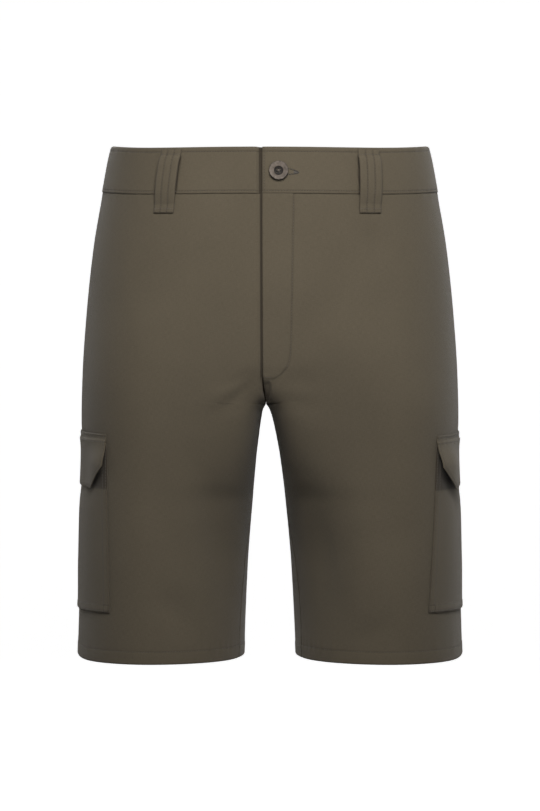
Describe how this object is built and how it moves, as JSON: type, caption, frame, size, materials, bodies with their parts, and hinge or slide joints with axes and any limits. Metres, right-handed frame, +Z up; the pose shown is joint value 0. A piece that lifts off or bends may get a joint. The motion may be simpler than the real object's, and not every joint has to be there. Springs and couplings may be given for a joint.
{
  "type": "cargo shorts",
  "caption": "Knee-length cargo shorts in plain twill, filled out as if worn: buttoned waistband, fly, belt loops, flapped patch pockets on the thighs, turned hems.",
  "frame": {"origin": "middle of the waistband's ring, half way up the band, where a wearer's waist holds the garment", "axes": "+Z up towards the waist opening, the front faces -Y, +X is the wearer's left"},
  "size_m": [0.4038, 0.2687, 0.5401],
  "materials": {
    "twill": "matte",
    "button": "satin",
    "thread": "matte"
  },
  "bodies": {
    "root": {"front_left": "twill", "front_right": "twill", "back_left": "twill", "back_right": "twill", "waistband_left": "twill", "waistband_right": "twill", "cargo_pocket_left": "twill", "cargo_pocket_right": "twill", "cargo_flap_left": "twill", "cargo_flap_right": "twill", "belt_loop_front_left": "twill", "belt_loop_front_right": "twill", "belt_loop_back_left": "twill", "belt_loop_back_right": "twill", "belt_loop_back_centre": "twill", "button": "button"}
  },
  "joints": []
}
